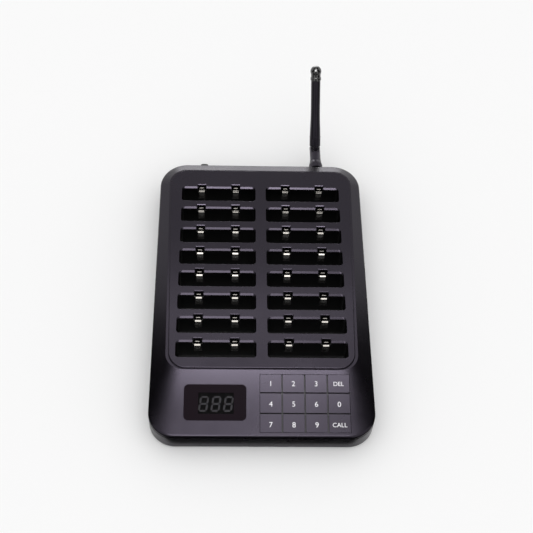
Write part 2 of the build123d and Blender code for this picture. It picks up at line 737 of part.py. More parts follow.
def make_contact_holders():
    """Plastic blocks behind the wells that hold the contacts' roots."""
    blocks = []
    root_z = deck_z - CONTACT_ROOT_BELOW_DECK
    top = root_z + HOLDER_HEIGHT_ABOVE_ROOT
    board_z = floor_z + CHARGE_BOARD_RISE + CHARGE_BOARD_THICKNESS
    for side in (-1, 1):
        for row in range(POCKET_ROWS):
            rear = pocket_rear_y(row)
            for x in contact_xs(side):
                half = HOLDER_WIDTH / 2
                block = box_between(
                    x - half, x + half, rear + WELL_WALL, rear + WELL_WALL + HOLDER_BACK, board_z, top
                )
                slot_half = CONTACT_WIDTH / 2 + FIT
                block = block - box_between(
                    x - slot_half,
                    x + slot_half,
                    rear + WELL_WALL - 1,
                    rear + CONTACT_BACK + HOLDER_SLOT / 2,
                    root_z - FIT,
                    top + 1,
                )
                blocks.append(block)
    return Part() + blocks


# Keys, key frame, front board and display


def make_key(column, row):
    """A cap with a stem and two snap legs that hang through the key frame."""
    x0, x1, y0, y1 = key_limits(column, row)
    cap = rounded_box(x0, x1, y0, y1, key_cap_bottom, KEY_PROUD, KEY_CORNER)
    cap = fillet(cap.faces().sort_by(Axis.Z)[-1].edges(), KEY_EDGE)
    x, y = key_centre(column, row)
    key = cap + rod_z(x, y, key_stem_bottom, key_cap_bottom + 0.1, KEY_STEM_RADIUS)
    for side in (-1, 1):
        inner = x + side * KEY_LEG_SPREAD
        outer = inner + side * KEY_LEG_THICKNESS
        a, b = sorted((inner, outer))
        half = KEY_LEG_WIDTH / 2
        barb_top = frame_bottom - FIT / 2
        key = key + box_between(a, b, y - half, y + half, barb_top - KEY_BARB_HEIGHT, key_cap_bottom + 0.1)
        a, b = sorted((inner, outer + side * KEY_BARB))
        key = key + box_between(a, b, y - half, y + half, barb_top - KEY_BARB_HEIGHT, barb_top)
    return panel * key


def key_centre(column, row):
    """Middle of a key's cell on the panel."""
    x = key_left_x + (column + 0.5) * KEY_PITCH_X
    y = key_low_y + (row + 0.5) * KEY_PITCH_Y
    return x, y


def make_key_frame():
    """Guide plate under the keys, against the inside of the panel."""
    x0, x1, y0, y1 = aperture_limits()
    margin = FRAME_MARGIN
    plate = rounded_box(
        x0 - margin, x1 + margin, y0 - margin, y1 + margin, frame_bottom, frame_top, KEY_CORNER + margin
    )
    for column in range(KEY_COLUMNS):
        for row in range(KEY_ROWS):
            x, y = key_centre(column, row)
            plate = plate - rod_z(x, y, frame_bottom - 1, 0, KEY_STEM_RADIUS + FIT)
            for side in (-1, 1):
                near = x + side * (KEY_LEG_SPREAD - FIT)
                far = x + side * (KEY_LEG_SPREAD + KEY_LEG_THICKNESS + FIT)
                a, b = sorted((near, far))
                half = KEY_LEG_WIDTH / 2 + FIT
                plate = plate - box_between(a, b, y - half, y + half, frame_bottom - 1, 0)
    return (panel * plate) & surround(SHELL_WALL + FRAME_GAP / 2)


def make_key_switches():
    """A small square switch under each key."""
    switches = []
    for column in range(KEY_COLUMNS):
        for row in range(KEY_ROWS):
            x, y = key_centre(column, row)
            half = SWITCH_SIZE / 2
            body_top = board_top + SWITCH_HEIGHT * 0.7
            body = box_between(x - half, x + half, y - half, y + half, board_top, body_top)
            switches.append(body + rod_z(x, y, body_top - 0.1, switch_top, KEY_STEM_RADIUS * 0.9))
    return panel * (Part() + switches)


def front_board_limits():
    """Limits of the front board on the panel."""
    places = panel_post_places()
    xs = [p[0] for p in places]
    ys = [p[1] for p in places]
    edge = POST_RADIUS + 0.5
    return min(xs) - edge, max(xs) + edge, min(ys) - edge, max(ys) + edge


def make_front_board():
    """Circuit board that carries the display and the key switches."""
    x0, x1, y0, y1 = front_board_limits()
    board = rounded_box(x0, x1, y0, y1, board_bottom, board_top, 2.0)
    for x, y in panel_post_places():
        board = board - rod_z(x, y, board_bottom - 1, board_top + 1, POST_HOLE + THREAD_GAP)
    return panel * board


def make_board_screws():
    """Screws that hold the front board to the panel's posts."""
    screws = []
    for x, y in panel_post_places():
        shank_top = board_top + SMALL_SCREW_LENGTH - 0.5
        shank = rod_z(x, y, board_bottom - 0.1, shank_top, SMALL_SCREW_RADIUS)
        head = rod_z(x, y, board_bottom - SMALL_SCREW_HEAD_HEIGHT, board_bottom, SMALL_SCREW_HEAD)
        head = fillet(head.faces().sort_by(Axis.Z)[0].edges(), SMALL_SCREW_HEAD_HEIGHT * 0.4)
        screws.append(shank + head)
    return panel * (Part() + screws)


display_top = -WINDOW_THICKNESS - DISPLAY_BACK - SEGMENT_RAISE


def make_display_window():
    """Smoked panel, flush in its recess."""
    return panel * rounded_box(
        window_centre_x - WINDOW_WIDTH / 2,
        window_centre_x + WINDOW_WIDTH / 2,
        WINDOW_CENTRE_UP - WINDOW_HEIGHT / 2,
        WINDOW_CENTRE_UP + WINDOW_HEIGHT / 2,
        -WINDOW_THICKNESS,
        0,
        WINDOW_CORNER,
    )


def make_digit_display():
    """Black body of the display module, standing on the front board."""
    return panel * box_between(
        display_centre_x - DISPLAY_WIDTH / 2,
        display_centre_x + DISPLAY_WIDTH / 2,
        display_centre_up - DISPLAY_HEIGHT / 2,
        display_centre_up + DISPLAY_HEIGHT / 2,
        board_top,
        display_top,
    )


def segment(length):
    """One bar of a digit, pointed at both ends, lying along X."""
    half = length / 2 - SEGMENT_GAP
    tip = SEGMENT_WIDTH / 2
    return Polygon(
        (-half, 0), (-half + tip, tip), (half - tip, tip), (half, 0), (half - tip, -tip), (-half + tip, -tip),
        align=None,
    )


def digit():
    """Seven bars of one digit, upright and centred."""
    across = DIGIT_WIDTH - SEGMENT_WIDTH
    up = (DIGIT_HEIGHT - SEGMENT_WIDTH) / 2
    bars = [Pos(0, y, 0) * segment(across) for y in (-up, 0, up)]
    for x in (-across / 2, across / 2):
        for y in (-up / 2, up / 2):
            bars.append(Pos(x, y, 0) * Rot(0, 0, 90) * segment(up))
    return bars


def make_digit_segments():
    """Raised bars of the three digits, leaning to the right."""
    lean = math.tan(math.radians(DIGIT_SLANT))
    solids = []
    for index in range(DIGIT_COUNT):
        x = display_centre_x + (index - (DIGIT_COUNT - 1) / 2) * DIGIT_PITCH
        for bar in digit():
            points = [(v.X + v.Y * lean, v.Y) for v in ordered_vertices(bar)]
            face = Polygon(*points, align=None)
            bar_solid = extrude(face, SEGMENT_RAISE, dir=(0, 0, 1))
            solids.append(Pos(x, display_centre_up, display_top) * bar_solid)
    return panel * (Part() + solids)


def ordered_vertices(face):
    """Corners of a flat face, in order round it."""
    edges = face.wires()[0].order_edges()
    return [edge @ 0 for edge in edges]


# Rear fittings


def make_power_button():
    """Button with round sides that slides through the rear wall into its switch."""
    inner = inner_rear_y - POWER_SWITCH_DEPTH + BUTTON_TRAVEL + 1.5
    button = obround_y(button_x, rear_axis_z, inner, rear_y + BUTTON_PROUD, BUTTON_WIDTH, BUTTON_HEIGHT)
    return fillet(button.faces().sort_by(Axis.Y)[-1].edges(), 0.7)


def make_power_switch():
    """Latching switch fixed behind the wall, open for the button."""
    half = POWER_SWITCH_WIDTH / 2
    body = box_between(
        button_x - half,
        button_x + half,
        inner_rear_y - POWER_SWITCH_DEPTH,
        inner_rear_y,
        rear_axis_z - POWER_SWITCH_BELOW,
        rear_axis_z + POWER_SWITCH_ABOVE,
    )
    bore_end = inner_rear_y - POWER_SWITCH_DEPTH + 1.2
    wide = BUTTON_WIDTH + 2 * SHAFT_FIT
    tall = BUTTON_HEIGHT + 2 * SHAFT_FIT
    return body - obround_y(button_x, rear_axis_z, bore_end, rear_y, wide, tall)


def make_dc_jack():
    """Power inlet on the main board, its nose in the rear wall, with a centre pin."""
    base = floor_z + MAIN_BOARD_STANDOFF + BOARD_THICKNESS
    axis = base + JACK_HEIGHT / 2
    half = JACK_WIDTH / 2
    body_rear = inner_rear_y - HOLE_GAP
    body_front = body_rear - JACK_DEPTH
    body = box_between(JACK_X - half, JACK_X + half, body_front, body_rear, base, base + JACK_HEIGHT)
    mouth = rear_y - JACK_RECESS
    body = body + rod_y(JACK_X, axis, body_rear - 1, mouth, JACK_NOSE_RADIUS)
    body = body - rod_y(JACK_X, axis, mouth - JACK_BORE_DEPTH, mouth + 1, JACK_BORE_RADIUS)
    pin = rod_y(JACK_X, axis, mouth - JACK_BORE_DEPTH - 0.5, mouth - 1.5, JACK_PIN_RADIUS)
    return body + pin


def make_antenna_connector():
    """Threaded jack through the rear wall, with its flange inside."""
    threaded = rod_y(antenna_x, rear_axis_z, inner_rear_y - 0.5, rear_y + THREAD_LENGTH, THREAD_RADIUS)
    flange_front = inner_rear_y - CONNECTOR_FLANGE
    flange = rod_y(antenna_x, rear_axis_z, flange_front, inner_rear_y, CONNECTOR_FLANGE_RADIUS)
    flat_z = rear_axis_z + 3.3
    flange = flange & box_between(0, body_width, flange_front - 1, inner_rear_y + 1, 0, flat_z)
    tail_front = flange_front - CONNECTOR_TAIL
    tail = rod_y(antenna_x, rear_axis_z, tail_front, flange_front + 0.1, CONNECTOR_TAIL_RADIUS)
    return threaded + flange + tail


def make_connector_nut():
    """Hexagonal nut outside the wall."""
    nut = extrude(RegularPolygon(NUT_ACROSS_FLATS / 2, 6, major_radius=False), NUT_THICKNESS)
    nut = Pos(antenna_x, rear_y, rear_axis_z) * Rot(-90, 0, 0) * nut
    return nut - rod_y(antenna_x, rear_axis_z, rear_y - 1, rear_y + 5, THREAD_RADIUS)


def along_antenna(part):
    """Puts a piece drawn along +Z from the wall onto the connector's axis."""
    return Pos(antenna_x, rear_y, rear_axis_z) * Rot(-90, 0, 0) * part


def make_antenna_nut():
    """Flared grip that screws onto the connector and covers its nut."""
    nut_end = GRIP_START + NUT_POCKET_DEPTH
    bore_end = THREAD_LENGTH + 0.3
    profile = Polygon(
        (NUT_POCKET_RADIUS, GRIP_START),
        (GRIP_RADIUS_WALL, GRIP_START),
        (GRIP_RADIUS_WALL, GRIP_END * 0.5),
        (GRIP_RADIUS_WALL - 0.35, GRIP_END * 0.7),
        (GRIP_RADIUS_FREE + 0.2, GRIP_END * 0.88),
        (GRIP_RADIUS_FREE, GRIP_END),
        (SPIGOT_RADIUS + SHAFT_FIT, GRIP_END),
        (SPIGOT_RADIUS + SHAFT_FIT, bore_end),
        (THREAD_RADIUS, bore_end),
        (THREAD_RADIUS, nut_end),
        (NUT_POCKET_RADIUS, nut_end),
        align=None,
    )
    grip = revolve(Plane.XZ * profile, Axis.Z)
    groove_z = GRIP_START + GRIP_END * 0.25
    groove = Pos(GRIP_RADIUS_WALL, 0, groove_z) * Cylinder(GRIP_RIB_DEPTH, GRIP_END * 0.36)
    grip = grip - [Rot(0, 0, 360 * i / GRIP_RIBS) * groove for i in range(GRIP_RIBS)]
    return along_antenna(grip)


neck_start = GRIP_END + 0.1
neck_end = PIVOT_OUT - NECK_END_BEFORE_PIVOT


def make_antenna_base():
    """Neck that turns on the grip and forks round the pivot."""
    ring_end = neck_start + NECK_RING_WIDTH
    profile = Polygon(
        (0, neck_start),
        (NECK_RADIUS + NECK_RING_PROUD, neck_start),
        (NECK_RADIUS + NECK_RING_PROUD, ring_end),
        (NECK_RADIUS + 0.1, ring_end + 0.2),
        (NECK_RADIUS, ring_end + 3),
        (NECK_RADIUS, neck_end - 0.5),
        (NECK_RADIUS - 0.5, neck_end),
        (0, neck_end),
        align=None,
    )
    neck = revolve(Plane.XZ * profile, Axis.Z)
    ear = Pos(0, 0, PIVOT_OUT) * Rot(0, 90, 0) * Cylinder(EAR_RADIUS, 2 * NECK_RADIUS)
    bridge_length = NECK_END_BEFORE_PIVOT + 1
    bridge = Pos(0, 0, PIVOT_OUT - bridge_length / 2) * Box(2 * NECK_RADIUS, 2 * EAR_RADIUS, bridge_length)
    round_bar = Pos(0, 0, PIVOT_OUT) * Cylinder(NECK_RADIUS, 4 * NECK_RADIUS)
    neck = neck + ((ear + bridge) & round_bar)
    spigot = Pos(0, 0, neck_start - SPIGOT_LENGTH / 2 + 0.5) * Cylinder(SPIGOT_RADIUS, SPIGOT_LENGTH + 1)
    neck = neck + spigot
    slot_low = PIVOT_OUT - TANG_RADIUS - PIVOT_GAP
    slot_high = PIVOT_OUT + 2 * NECK_RADIUS
    slot = Pos(0, 0, (slot_low + slot_high) / 2) * Box(FORK_SLOT, 4 * NECK_RADIUS, slot_high - slot_low)
    pin_hole = Pos(0, 0, PIVOT_OUT) * Rot(0, 90, 0) * Cylinder(PIN_RADIUS, 4 * NECK_RADIUS)
    return swivelled(along_antenna(neck - slot - pin_hole))


def make_pivot_pin():
    """Pin across the fork."""
    pin = Pos(0, 0, PIVOT_OUT) * Rot(0, 90, 0) * Cylinder(PIN_RADIUS, 2 * NECK_RADIUS - 0.8)
    return swivelled(along_antenna(pin))


def swivelled(part):
    """Turns a piece about the connector's axis to the way the antenna stands in the picture."""
    centre = Location((antenna_x, rear_y, rear_axis_z))
    return centre * Rot(0, -SWIVEL_REST, 0) * centre.inverse() * part


def leaned(part):
    """Puts a piece drawn along +Z from the pivot onto the leaning whip."""
    pivot = Pos(antenna_x, rear_y + PIVOT_OUT, rear_axis_z)
    return swivelled(pivot * Rot(WHIP_LEAN - 90, 0, 0) * part)


def make_antenna_whip():
    """Tapered rod with a fluted knuckle and a flat tang that turns on the pin."""
    ring_end = KNUCKLE_END + KNUCKLE_RING_WIDTH
    ring_radius = KNUCKLE_RADIUS + KNUCKLE_RING_PROUD
    end = WHIP_LENGTH - CAP_LENGTH
    taper = [(radius, along) for along, radius in WHIP_TAPER]
    low = Polyline(
        (0, KNUCKLE_START),
        (KNUCKLE_RADIUS - 0.8, KNUCKLE_START),
        (KNUCKLE_RADIUS, KNUCKLE_START + 0.8),
        (KNUCKLE_RADIUS, KNUCKLE_END),
        (ring_radius, KNUCKLE_END),
        (ring_radius, ring_end),
        taper[0],
    )
    curve = Spline(*taper)
    high = Polyline(
        taper[-1],
        (WHIP_TOP_RADIUS, end),
        (CAP_SEAT_RADIUS, end),
        (CAP_SEAT_RADIUS, end + CAP_SEAT),
        (0, end + CAP_SEAT),
        (0, KNUCKLE_START),
    )
    profile = make_face(Curve() + [low, curve, high])
    whip = revolve(Plane.XZ * profile, Axis.Z)
    flute_length = KNUCKLE_END - KNUCKLE_START - 2.4
    flute_z = (KNUCKLE_START + KNUCKLE_END) / 2 + 0.2
    flute = Pos(KNUCKLE_RADIUS + 0.2, 0, flute_z) * Cylinder(KNUCKLE_FLUTE_RADIUS, flute_length)
    whip = whip - [Rot(0, 0, 360 * (i + 0.5) / KNUCKLE_FLUTES) * flute for i in range(KNUCKLE_FLUTES)]
    tang_length = KNUCKLE_START + 1
    tang = Pos(0, 0, tang_length / 2) * Box(TANG_THICKNESS, 2 * TANG_RADIUS, tang_length)
    tang = tang + Rot(0, 90, 0) * Cylinder(TANG_RADIUS, TANG_THICKNESS)
    whip = whip + tang
    whip = whip - Rot(0, 90, 0) * Cylinder(PIN_RADIUS + SHAFT_FIT, 4 * TANG_THICKNESS)
    return leaned(whip)


def make_antenna_cap():
    """Tip with a collar, a waist and a round end."""
    start = WHIP_LENGTH - CAP_LENGTH
    bulb = WHIP_LENGTH - CAP_BULB_RADIUS
    collar_end = start + CAP_RING_LENGTH
    waist = (collar_end + bulb) / 2
    lower = Polyline(
        (0, start + CAP_SEAT),
        (CAP_SEAT_RADIUS, start + CAP_SEAT),
        (CAP_SEAT_RADIUS, start),
        (CAP_RING_RADIUS - 0.3, start),
        (CAP_RING_RADIUS, start + 0.4),
        (CAP_RING_RADIUS, collar_end - 0.4),
        (CAP_NECK_RADIUS, collar_end + 0.4),
    )
    side = Spline(
        (CAP_NECK_RADIUS, collar_end + 0.4),
        (CAP_NECK_RADIUS + 0.04, waist),
        (CAP_BULB_RADIUS, bulb),
        tangents=[(0, 1), (0, 1)],
    )
    tip = CenterArc((0, bulb), CAP_BULB_RADIUS, 0, 90)
    axis = Line((0, WHIP_LENGTH), (0, start + CAP_SEAT))
    profile = make_face(Curve() + [lower, side, tip, axis])
    return leaned(revolve(Plane.XZ * profile, Axis.Z))


# Boards, wiring, fasteners and feet


def make_main_board():
    """Board along the rear wall."""
    x0, x1, y0, y1 = main_board_limits()
    z0 = floor_z + MAIN_BOARD_STANDOFF
    board = rounded_box(x0, x1, y0, y1, z0, z0 + BOARD_THICKNESS, 1.5)
    for x, y in main_board_screw_places():
        board = board - rod_z(x, y, z0 - 1, z0 + BOARD_THICKNESS + 1, POST_HOLE + THREAD_GAP)
    return board


def make_main_board_screws():
    """Screws of the main board."""
    z0 = floor_z + MAIN_BOARD_STANDOFF + BOARD_THICKNESS
    screws = []
    for x, y in main_board_screw_places():
        shank = rod_z(x, y, floor_z - 0.8, z0 + 0.1, SMALL_SCREW_RADIUS)
        screws.append(shank + rod_z(x, y, z0, z0 + SMALL_SCREW_HEAD_HEIGHT, SMALL_SCREW_HEAD))
    return Part() + screws


def make_charge_boards():
    """Boards under the wells, on the ribs of the case."""
    boards = []
    for side in (-1, 1):
        x0, x1, y0, y1 = charge_board_limits(side)
        z0 = floor_z + CHARGE_BOARD_RISE
        boards.append(box_between(x0, x1, y0, y1, z0, z0 + CHARGE_BOARD_THICKNESS))
    return Part() + boards


def make_radio_module():
    """Screened transmitter on the main board."""
    _, _, y0, y1 = main_board_limits()
    z0 = floor_z + MAIN_BOARD_STANDOFF + BOARD_THICKNESS
    y = (y0 + y1) / 2
    can = rounded_box(
        RADIO_X - RADIO_WIDTH / 2,
        RADIO_X + RADIO_WIDTH / 2,
        y - RADIO_LENGTH / 2,
        y + RADIO_LENGTH / 2,
        z0,
        z0 + RADIO_HEIGHT,
        0.6,
    )
    return can


def make_antenna_lead():
    """Thin coax from the connector's tail down to the transmitter."""
    _, _, y0, y1 = main_board_limits()
    start_y = inner_rear_y - CONNECTOR_FLANGE - CONNECTOR_TAIL
    low_z = floor_z + MAIN_BOARD_STANDOFF + BOARD_THICKNESS + RADIO_HEIGHT
    mid_y = start_y - 2.2 * LEAD_BEND
    points = [
        (antenna_x, start_y, rear_axis_z),
        (antenna_x, mid_y, rear_axis_z),
        (RADIO_X, mid_y, low_z + 1.4 * LEAD_BEND),
        (RADIO_X, mid_y, low_z),
    ]
    line = FilletPolyline(*points, radius=LEAD_BEND)
    section = Plane(origin=points[0], x_dir=(1, 0, 0), z_dir=(0, -1, 0)) * Circle(LEAD_RADIUS)
    return sweep(section, path=line)


def make_panel_ribbon():
    """Flat cable along the floor between the columns, up to both boards."""
    _, _, main_y0, _ = main_board_limits()
    thick = RIBBON_THICKNESS
    half = RIBBON_WIDTH / 2
    main_z = floor_z + MAIN_BOARD_STANDOFF
    _, _, low, high = front_board_limits()
    up = (low + high) / 2
    front_point = panel_plane.from_local_coords((0, up, board_bottom))
    y_front = front_point.Y
    run = box_between(-half, half, y_front - thick / 2, main_y0 + 4, floor_z, floor_z + thick)
    rise = box_between(-half, half, y_front - thick / 2, y_front + thick / 2, floor_z, front_point.Z - 0.1)
    end = box_between(-half, half, main_y0 + 4 - thick, main_y0 + 4, floor_z, main_z)
    return run + rise + end


def make_case_screws():
    """Screws from below, through the case into the cover's posts."""
    screws = []
    z0 = case_z + CASE_SCREW_SINK
    head_top = z0 + CASE_SCREW_HEAD_HEIGHT
    for x, y in case_post_places():
        head = rod_z(x, y, z0, head_top, CASE_SCREW_HEAD)
        head = fillet(head.faces().sort_by(Axis.Z)[0].edges(), CASE_SCREW_HEAD_HEIGHT * 0.3)
        cross = box_between(x - 1.6, x + 1.6, y - 0.4, y + 0.4, z0 - 1, z0 + 0.9)
        cross = cross + box_between(x - 0.4, x + 0.4, y - 1.6, y + 1.6, z0 - 1, z0 + 0.9)
        shank = rod_z(x, y, head_top - 0.1, head_top + CASE_SCREW_LENGTH, CASE_SCREW_RADIUS)
        screws.append(head + shank - cross)
    return Part() + screws


def make_rubber_feet():
    """Four round feet in their seats."""
    feet = []
    for x, y in foot_places():
        foot = rod_z(x, y, 0, case_z + FOOT_SEAT, FOOT_RADIUS)
        feet.append(fillet(foot.faces().sort_by(Axis.Z)[0].edges(), 0.5))
    return Part() + feet


def main():
    """Builds every piece and writes it."""
    os.makedirs("parts", exist_ok=True)
    save(make_top_cover(), "top_cover")
    save(make_bottom_case(), "bottom_case")
    save(make_tray(-1), "pocket_tray_left")
    save(make_tray(1), "pocket_tray_right")
    save(make_contact_holders(), "contact_holders")
    number = 0
    for side in (-1, 1):
        for row in range(POCKET_ROWS - 1, -1, -1):
            number = number + 1
            save(make_contact_pair(side, row), f"contacts_{number:02d}")
    names = [["7", "8", "9", "call"], ["4", "5", "6", "0"], ["1", "2", "3", "del"]]
    for row, line in enumerate(names):
        for column, name in enumerate(line):
            save(make_key(column, row), f"key_{name}")
    save(make_key_frame(), "key_frame")
    save(make_key_switches(), "key_switches")
    save(make_front_board(), "front_board")
    save(make_board_screws(), "board_screws")
    save(make_display_window(), "display_window")
    save(make_digit_display(), "digit_display")
    save(make_digit_segments(), "digit_segments")
    save(make_power_button(), "power_button")
    save(make_power_switch(), "power_switch")
    save(make_dc_jack(), "dc_jack")
    save(make_antenna_connector(), "antenna_connector")
    save(make_connector_nut(), "connector_nut")
    save(make_antenna_nut(), "antenna_nut")
    save(make_antenna_base(), "antenna_base")
    save(make_pivot_pin(), "pivot_pin")
    save(make_antenna_whip(), "antenna_whip")
    save(make_antenna_cap(), "antenna_cap")
    save(make_main_board(), "main_board")
    save(make_main_board_screws(), "main_board_screws")
    save(make_charge_boards(), "charge_boards")
    save(make_radio_module(), "radio_module")
    save(make_antenna_lead(), "antenna_lead")
    save(make_panel_ribbon(), "panel_ribbon")
    save(make_case_screws(), "case_screws")
    save(make_rubber_feet(), "rubber_feet")


main()
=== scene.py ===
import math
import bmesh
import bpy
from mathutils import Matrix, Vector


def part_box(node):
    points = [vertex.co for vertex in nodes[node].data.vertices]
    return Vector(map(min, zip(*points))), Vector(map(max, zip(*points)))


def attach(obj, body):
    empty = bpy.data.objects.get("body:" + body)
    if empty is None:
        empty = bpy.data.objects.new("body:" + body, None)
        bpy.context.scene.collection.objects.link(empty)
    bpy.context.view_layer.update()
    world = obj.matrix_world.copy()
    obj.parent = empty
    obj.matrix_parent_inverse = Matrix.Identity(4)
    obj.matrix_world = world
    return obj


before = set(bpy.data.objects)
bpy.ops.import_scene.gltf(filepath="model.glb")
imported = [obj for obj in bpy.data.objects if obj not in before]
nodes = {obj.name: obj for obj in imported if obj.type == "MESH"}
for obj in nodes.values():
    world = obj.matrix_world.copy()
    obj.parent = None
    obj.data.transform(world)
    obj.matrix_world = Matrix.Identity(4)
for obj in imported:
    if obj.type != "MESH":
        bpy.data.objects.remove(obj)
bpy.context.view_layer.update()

# %% [markdown]
# ## What this file builds
# The object is the counter unit of a paging system: a charcoal charging base with sixteen pockets,
# a keypad, a small digit display and a folding rod antenna. The imported CAD pieces give every
# shape and place. This file dresses them: a camera at the photograph's angle, a plain studio, and
# one material for each finish, worked out from how the real surface was made. The printed legends
# are added as pieces of their own.

# %% [markdown]
# ## The camera
# The photograph was taken from the front and well above, with a long lens. A camera fitted to the
# outline and to the grid of pockets gives its place, its lens and a small roll. A Blender camera
# looks along its own -Z with +Y up, so the rotation matrix is built from those three directions.

# %% Camera
ELEVATION = math.radians(56.0)
YAW = math.radians(3.475)
ROLL = math.radians(3.456)
CAMERA_PLACE = (-0.02856, -0.53093, 0.85336)
LENS_MM = 70.86

level_length = math.cos(ELEVATION)
look = Vector((math.sin(YAW) * level_length, math.cos(YAW) * level_length, -math.sin(ELEVATION)))
right = look.cross(Vector((0, 0, 1))).normalized()
up = right.cross(look)
right_rolled = math.cos(ROLL) * right + math.sin(ROLL) * up
up_rolled = math.cos(ROLL) * up - math.sin(ROLL) * right

camera_data = bpy.data.cameras.new("camera")
camera_data.lens = LENS_MM
camera_data.sensor_width = 36.0
camera_data.clip_start = 0.01
camera = bpy.data.objects.new("camera", camera_data)
turn = Matrix((right_rolled, up_rolled, -look)).transposed()
camera.matrix_world = Matrix.Translation(CAMERA_PLACE) @ turn.to_4x4()
bpy.context.scene.collection.objects.link(camera)
bpy.context.scene.camera = camera
bpy.context.scene.view_settings.view_transform = "Standard"
print("camera at", [round(v, 3) for v in camera.location], "lens", camera_data.lens)

# %% [markdown]
# ## Small helpers
# Colours are given as sRGB hex values, but shaders work in linear light, so one function
# converts them. One more function adds a shader node, sets its values and links its inputs. That
# keeps each material below readable as a list of steps.

# %% Colour and node helpers
def linear(hex_code, alpha=1.0):
    """An sRGB hex colour as linear RGBA."""
    channels = [int(hex_code[i : i + 2], 16) / 255 for i in (1, 3, 5)]
    curve = [c / 12.92 if c <= 0.04045 else ((c + 0.055) / 1.055) ** 2.4 for c in channels]
    return (*curve, alpha)


def add(tree, kind, settings=None, inputs=None):
    """Adds a node; inputs may be values or another node's output socket."""
    node = tree.nodes.new(kind)
    for key, value in (settings or {}).items():
        setattr(node, key, value)
    for key, value in (inputs or {}).items():
        if isinstance(value, bpy.types.NodeSocket):
            tree.links.new(value, node.inputs[key])
        else:
            node.inputs[key].default_value = value
    return node


def new_material(name):
    """An empty material with its output node."""
    material = bpy.data.materials.new(name)
    material.use_nodes = True
    material.node_tree.nodes.clear()
    output = material.node_tree.nodes.new("ShaderNodeOutputMaterial")
    return material, material.node_tree, output


def wear(node_name, material):
    """Gives a CAD node one material in place of its own."""
    slots = nodes[node_name].material_slots
    if len(slots) == 0:
        nodes[node_name].data.materials.append(material)
    for slot in slots:
        slot.material = material

# %% [markdown]
# ## Studio light
# Dark plastic shows its surroundings more than its own colour: three or four percent of the light
# comes back as a reflection, and the pigment returns even less. So the studio is built by what the
# surfaces mirror. The world is plain white at strength 1, which gives all the diffuse light and the
# grey of the flat deck. Lamps add highlights to it, and dark cards take reflections away. Where they
# stand is a fit to the photograph, and the real studio isn't known.

# %% World
world = bpy.data.worlds.new("studio")
world.use_nodes = True
bpy.context.scene.world = world
tree = world.node_tree
tree.nodes.clear()
white = add(tree, "ShaderNodeBackground", inputs={"Color": (1, 1, 1, 1), "Strength": 1.0})
add(tree, "ShaderNodeOutputWorld", inputs={"Surface": white.outputs[0]})
print("world nodes:", len(tree.nodes))

# %% [markdown]
# ## Lamps
# An area lamp's power is its radiance times its area times pi, so each lamp below is given by the
# radiance that a mirror would show. One lamp above the front panel gives the panel its sheen, and a
# fainter one does the same for the front half of the deck. Two further up and in front light the
# pocket rims and the contacts, and a low strip at the back draws the bright rear edge. The camera
# doesn't see the lamps, and diffuse surfaces don't either, so they never whiten the floor.

# %% Lamps
def soft_lamp(name, place, aim, width, depth, radiance):
    """A rectangular lamp that faces a point and can't be seen directly."""
    data = bpy.data.lights.new(name, "AREA")
    data.shape = "RECTANGLE"
    data.size = width
    data.size_y = depth
    data.energy = radiance * width * depth * math.pi
    lamp = bpy.data.objects.new(name, data)
    facing = Vector(aim) - Vector(place)
    lamp.matrix_world = Matrix.Translation(place) @ facing.to_track_quat("-Z", "Y").to_matrix().to_4x4()
    lamp.visible_camera = False
    lamp.visible_diffuse = False
    bpy.context.scene.collection.objects.link(lamp)


soft_lamp("panel_lamp", (0.01, -0.004, 0.40), (0.01, -0.004, 0.0), 0.27, 0.07, 15.0)
soft_lamp("deck_lamp", (0.005, 0.185, 0.40), (0.005, 0.185, 0.0), 0.40, 0.07, 2.2)
soft_lamp("rim_lamp", (0.0, -0.29, 1.5), (0.0, 0.0, 0.0), 0.7, 0.28, 12.0)
soft_lamp("front_softbox", (-0.15, -0.88, 1.36), (0.0, 0.0, 0.0), 0.56, 0.56, 8.0)
soft_lamp("rear_strip", (0.0, 1.5, 0.14), (0.0, 0.15, 0.03), 0.9, 0.3, 8.4)

# %% [markdown]
# ## Black cards
# The flanks are the darkest part of the photograph, which a photographer gets with black cards
# round the object. A high and a low card stand at each side, one lies on the floor at each front
# corner and one in front of the case, and one stands behind the camera. Only reflections see them,
# so they shade neither the floor nor the object.

# %% Black cards
def reflection_card(name, corners, colour):
    """A flat card that only reflections see."""
    material, tree, output = new_material(name + "_felt")
    felt = add(tree, "ShaderNodeBsdfDiffuse", inputs={"Color": linear(colour)})
    tree.links.new(felt.outputs[0], output.inputs["Surface"])
    form = bmesh.new()
    form.faces.new([form.verts.new(corner) for corner in corners])
    mesh = bpy.data.meshes.new(name)
    form.to_mesh(mesh)
    form.free()
    mesh.materials.append(material)
    card = bpy.data.objects.new(name, mesh)
    bpy.context.scene.collection.objects.link(card)
    card.visible_camera = False
    card.visible_diffuse = False
    card.visible_shadow = False


def standing_card(name, x, y_range, z_range, colour):
    """A card that stands beside the object."""
    (y0, y1), (z0, z1) = y_range, z_range
    reflection_card(name, [(x, y0, z0), (x, y1, z0), (x, y1, z1), (x, y0, z1)], colour)


def lying_card(name, x_range, y_range, z, colour):
    """A card that lies on the floor."""
    (x0, x1), (y0, y1) = x_range, y_range
    reflection_card(name, [(x0, y0, z), (x1, y0, z), (x1, y1, z), (x0, y1, z)], colour)


